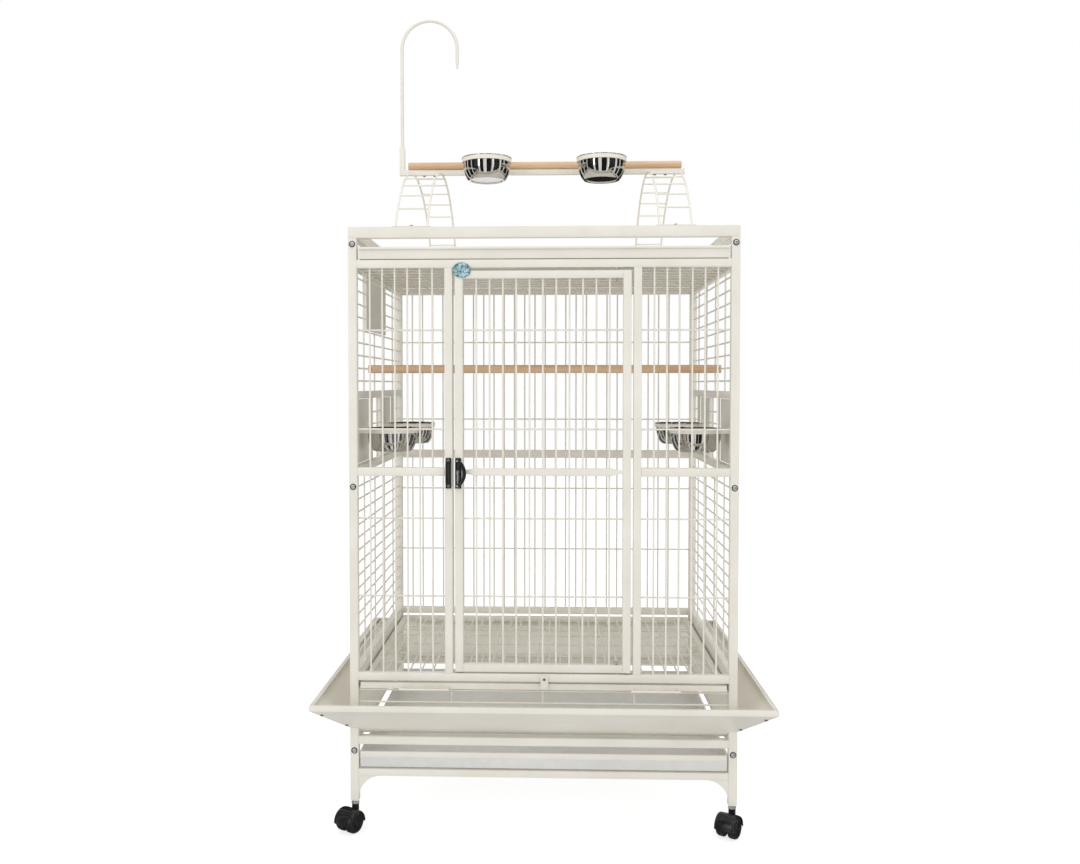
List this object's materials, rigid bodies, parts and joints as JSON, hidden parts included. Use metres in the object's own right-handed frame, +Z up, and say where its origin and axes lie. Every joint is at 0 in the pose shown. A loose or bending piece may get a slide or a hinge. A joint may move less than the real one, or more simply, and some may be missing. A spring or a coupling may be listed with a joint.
{
  "type": "bird cage on stand",
  "caption": "Tall parrot cage of welded bars on a wheeled stand, with front door, feeder doors, pull-out trays, seed guard and a play top.",
  "frame": {"origin": "on the floor, under the middle of the cage", "axes": "+Z up, front with the main door faces -Y, +X to the right seen from the front"},
  "size_m": [1.072, 0.869, 2.0375],
  "materials": {
    "powder_coat": "satin",
    "steel_bowl": "polished",
    "zinc": "satin",
    "wood": "satin",
    "black_plastic": "satin",
    "tread": "matte",
    "badge": "gloss",
    "chrome": "polished",
    "socket_plastic": "satin"
  },
  "bodies": {
    "cage": {"corner_posts": "powder_coat", "top_rim": "powder_coat", "base_frame": "powder_coat", "front_rails": "powder_coat", "left_rails": "powder_coat", "right_rails": "powder_coat", "back_rails": "powder_coat", "front_bars": "powder_coat", "left_bars": "powder_coat", "right_bars": "powder_coat", "back_bars": "powder_coat", "ceiling_bars": "powder_coat", "gap_guards": "powder_coat", "slide_runners": "powder_coat", "seed_guard_front": "powder_coat", "seed_guard_back": "powder_coat", "seed_guard_left": "powder_coat", "seed_guard_right": "powder_coat", "ladder_left": "powder_coat", "ladder_right": "powder_coat", "perch_rail": "powder_coat", "top_bowl_rings": "powder_coat", "frame_bolts": "zinc", "small_screws": "zinc", "hinge_pins": "zinc", "strike_plate": "black_plastic", "top_perch": "wood", "inside_perch": "wood", "caster_sockets": "socket_plastic"},
    "door": {"door_frame": "powder_coat", "door_bars": "powder_coat", "latch_housing": "black_plastic", "badge": "badge"},
    "latch_lever": {"latch_lever": "chrome"},
    "nest_door": {"nest_door": "powder_coat"},
    "nest_latch": {"nest_latch": "black_plastic"},
    "grate": {"grate": "powder_coat", "grate_handles": "zinc"},
    "grate_tab": {"grate_tab": "zinc"},
    "droppings_tray": {"droppings_tray": "zinc"},
    "play_top_tray": {"play_top_tray": "powder_coat"},
    "toy_hook": {"toy_hook": "powder_coat"},
    "feeder_door_left_near": {"feeder_door_left_near": "powder_coat"},
    "bowl_left_near": {"bowl_left_near": "steel_bowl"},
    "feeder_door_left_far": {"feeder_door_left_far": "powder_coat"},
    "bowl_left_far": {"bowl_left_far": "steel_bowl"},
    "bowl_top_left": {"bowl_top_left": "steel_bowl"},
    "caster_front_left": {"caster_front_left": "black_plastic"},
    "wheels_front_left": {"wheels_front_left": "tread"},
    "caster_back_left": {"caster_back_left": "black_plastic"},
    "wheels_back_left": {"wheels_back_left": "tread"},
    "feeder_door_right_near": {"feeder_door_right_near": "powder_coat"},
    "bowl_right_near": {"bowl_right_near": "steel_bowl"},
    "feeder_door_right_far": {"feeder_door_right_far": "powder_coat"},
    "bowl_right_far": {"bowl_right_far": "steel_bowl"},
    "bowl_top_right": {"bowl_top_right": "steel_bowl"},
    "caster_front_right": {"caster_front_right": "black_plastic"},
    "wheels_front_right": {"wheels_front_right": "tread"},
    "caster_back_right": {"caster_back_right": "black_plastic"},
    "wheels_back_right": {"wheels_back_right": "tread"}
  },
  "joints": [
    {"name": "door_hinge", "type": "hinge", "parent": "cage", "child": "door", "pos_m": [0.173, -0.3465, 0.85], "axis": [0, 0, 1], "range_deg": [0, 130]},
    {"name": "latch_pivot", "type": "hinge", "parent": "door", "child": "latch_lever", "pos_m": [-0.1985, -0.3615, 0.858], "axis": [-1, 0, 0], "range_deg": [0, 50]},
    {"name": "feeder_door_left_near_hinge", "type": "hinge", "parent": "cage", "child": "feeder_door_left_near", "pos_m": [-0.4535, -0.3205, 0.938], "axis": [0, 0, 1], "range_deg": [0, 110]},
    {"name": "bowl_left_near_lift", "type": "slide", "parent": "feeder_door_left_near", "child": "bowl_left_near", "axis": [0, 0, 1], "range_m": [0, 0.07]},
    {"name": "feeder_door_left_far_hinge", "type": "hinge", "parent": "cage", "child": "feeder_door_left_far", "pos_m": [-0.4535, 0.0185, 0.938], "axis": [0, 0, 1], "range_deg": [0, 110]},
    {"name": "bowl_left_far_lift", "type": "slide", "parent": "feeder_door_left_far", "child": "bowl_left_far", "axis": [0, 0, 1], "range_m": [0, 0.07]},
    {"name": "bowl_top_left_lift", "type": "slide", "parent": "cage", "child": "bowl_top_left", "axis": [0, 0, 1], "range_m": [0, 0.07]},
    {"name": "caster_front_left_swivel", "type": "hinge", "parent": "cage", "child": "caster_front_left", "pos_m": [-0.447, -0.3455, 0.09], "axis": [0, 0, 1], "continuous": true},
    {"name": "wheels_front_left_roll", "type": "hinge", "parent": "caster_front_left", "child": "wheels_front_left", "pos_m": [-0.4576, -0.36246, 0.025], "axis": [0.848, -0.5299, 0], "continuous": true},
    {"name": "caster_back_left_swivel", "type": "hinge", "parent": "cage", "child": "caster_back_left", "pos_m": [-0.447, 0.3455, 0.09], "axis": [0, 0, 1], "continuous": true},
    {"name": "wheels_back_left_roll", "type": "hinge", "parent": "caster_back_left", "child": "wheels_back_left", "pos_m": [-0.4576, 0.32854, 0.025], "axis": [0.848, -0.5299, 0], "continuous": true},
    {"name": "feeder_door_right_near_hinge", "type": "hinge", "parent": "cage", "child": "feeder_door_right_near", "pos_m": [0.4535, -0.3205, 0.938], "axis": [0, 0, -1], "range_deg": [0, 110]},
    {"name": "bowl_right_near_lift", "type": "slide", "parent": "feeder_door_right_near", "child": "bowl_right_near", "axis": [0, 0, 1], "range_m": [0, 0.07]},
    {"name": "feeder_door_right_far_hinge", "type": "hinge", "parent": "cage", "child": "feeder_door_right_far", "pos_m": [0.4535, 0.0185, 0.938], "axis": [0, 0, -1], "range_deg": [0, 110]},
    {"name": "bowl_right_far_lift", "type": "slide", "parent": "feeder_door_right_far", "child": "bowl_right_far", "axis": [0, 0, 1], "range_m": [0, 0.07]},
    {"name": "bowl_top_right_lift", "type": "slide", "parent": "cage", "child": "bowl_top_right", "axis": [0, 0, 1], "range_m": [0, 0.07]},
    {"name": "caster_front_right_swivel", "type": "hinge", "parent": "cage", "child": "caster_front_right", "pos_m": [0.447, -0.3455, 0.09], "axis": [0, 0, 1], "continuous": true},
    {"name": "wheels_front_right_roll", "type": "hinge", "parent": "caster_front_right", "child": "wheels_front_right", "pos_m": [0.4364, -0.36246, 0.025], "axis": [0.848, -0.5299, 0], "continuous": true},
    {"name": "caster_back_right_swivel", "type": "hinge", "parent": "cage", "child": "caster_back_right", "pos_m": [0.447, 0.3455, 0.09], "axis": [0, 0, 1], "continuous": true},
    {"name": "wheels_back_right_roll", "type": "hinge", "parent": "caster_back_right", "child": "wheels_back_right", "pos_m": [0.4364, 0.32854, 0.025], "axis": [0.848, -0.5299, 0], "continuous": true},
    {"name": "nest_door_hinge", "type": "hinge", "parent": "cage", "child": "nest_door", "pos_m": [-0.4535, -0.1785, 1.26], "axis": [0, 0, 1], "range_deg": [0, 110]},
    {"name": "nest_latch_turn", "type": "hinge", "parent": "nest_door", "child": "nest_latch", "pos_m": [-0.457, 0.0575, 1.242], "axis": [1, 0, 0], "range_deg": [-90, 90]},
    {"name": "grate_slide", "type": "slide", "parent": "cage", "child": "grate", "axis": [0, -1, 0], "range_m": [0, 0.6]},
    {"name": "grate_tab_turn", "type": "hinge", "parent": "grate", "child": "grate_tab", "pos_m": [0.004, -0.358, 0.366], "axis": [0, 1, 0], "range_deg": [-90, 90]},
    {"name": "droppings_tray_slide", "type": "slide", "parent": "cage", "child": "droppings_tray", "axis": [0, -1, 0], "range_m": [0, 0.6]},
    {"name": "play_top_tray_slide", "type": "slide", "parent": "cage", "child": "play_top_tray", "axis": [0, -1, 0], "range_m": [0, 0.6]},
    {"name": "toy_hook_turn", "type": "hinge", "parent": "cage", "child": "toy_hook", "pos_m": [-0.3815, 0, 1.66], "axis": [0, 0, 1], "continuous": true}
  ]
}
